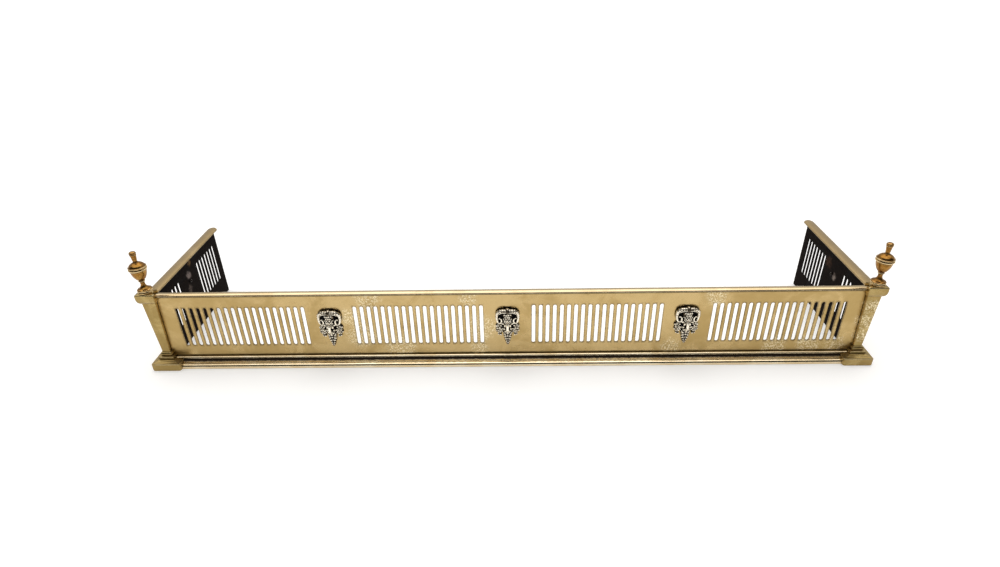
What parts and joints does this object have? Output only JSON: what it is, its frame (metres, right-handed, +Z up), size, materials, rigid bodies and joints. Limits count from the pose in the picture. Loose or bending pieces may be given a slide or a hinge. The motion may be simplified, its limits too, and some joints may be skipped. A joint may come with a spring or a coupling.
{
  "type": "fire fender",
  "caption": "U-shaped pierced brass hearth fender with a moulded plinth, half-round top rails, cast ram's masks and an urn finial on each front corner post.",
  "frame": {"origin": "middle of the fender's footprint, on the hearth", "axes": "+X along the front, +Y towards the fire, +Z up"},
  "size_m": [1.333, 0.307, 0.2388],
  "materials": {
    "plate_brass": "rolled brass sheet, polished and mottled in front, blackened behind",
    "polished_brass": "bright polished brass with dark tarnish in the quirks",
    "cast_brass": "cast brass, polished on the high parts, dark in the hollows",
    "dark_steel": "dull blackened iron fixings"
  },
  "bodies": {
    "root": {"front_centre_mask": "cast_brass", "front_centre_mask_lower_nut": "dark_steel", "front_centre_mask_upper_nut": "dark_steel", "front_left_mask": "cast_brass", "front_left_mask_lower_nut": "dark_steel", "front_left_mask_upper_nut": "dark_steel", "front_plate": "plate_brass", "front_plinth_moulding": "polished_brass", "front_right_mask": "cast_brass", "front_right_mask_lower_nut": "dark_steel", "front_right_mask_upper_nut": "dark_steel", "front_top_rail": "polished_brass", "left_corner_angle": "dark_steel", "left_finial_foot_ring": "polished_brass", "left_finial_lid": "polished_brass", "left_finial_urn": "polished_brass", "left_plinth_moulding": "polished_brass", "left_post_base": "cast_brass", "left_post_cap": "cast_brass", "left_post_collar": "cast_brass", "left_post_shaft": "cast_brass", "left_return_mask": "cast_brass", "left_return_mask_lower_nut": "dark_steel", "left_return_mask_upper_nut": "dark_steel", "left_return_plate": "plate_brass", "left_tie_rod": "dark_steel", "left_tie_rod_nut": "dark_steel", "left_tie_rod_washer": "dark_steel", "left_top_rail": "polished_brass", "right_corner_angle": "dark_steel", "right_finial_foot_ring": "polished_brass", "right_finial_lid": "polished_brass", "right_finial_urn": "polished_brass", "right_plinth_moulding": "polished_brass", "right_post_base": "cast_brass", "right_post_cap": "cast_brass", "right_post_collar": "cast_brass", "right_post_shaft": "cast_brass", "right_return_mask": "cast_brass", "right_return_mask_lower_nut": "dark_steel", "right_return_mask_upper_nut": "dark_steel", "right_return_plate": "plate_brass", "right_tie_rod": "dark_steel", "right_tie_rod_nut": "dark_steel", "right_tie_rod_washer": "dark_steel", "right_top_rail": "polished_brass"}
  },
  "joints": []
}
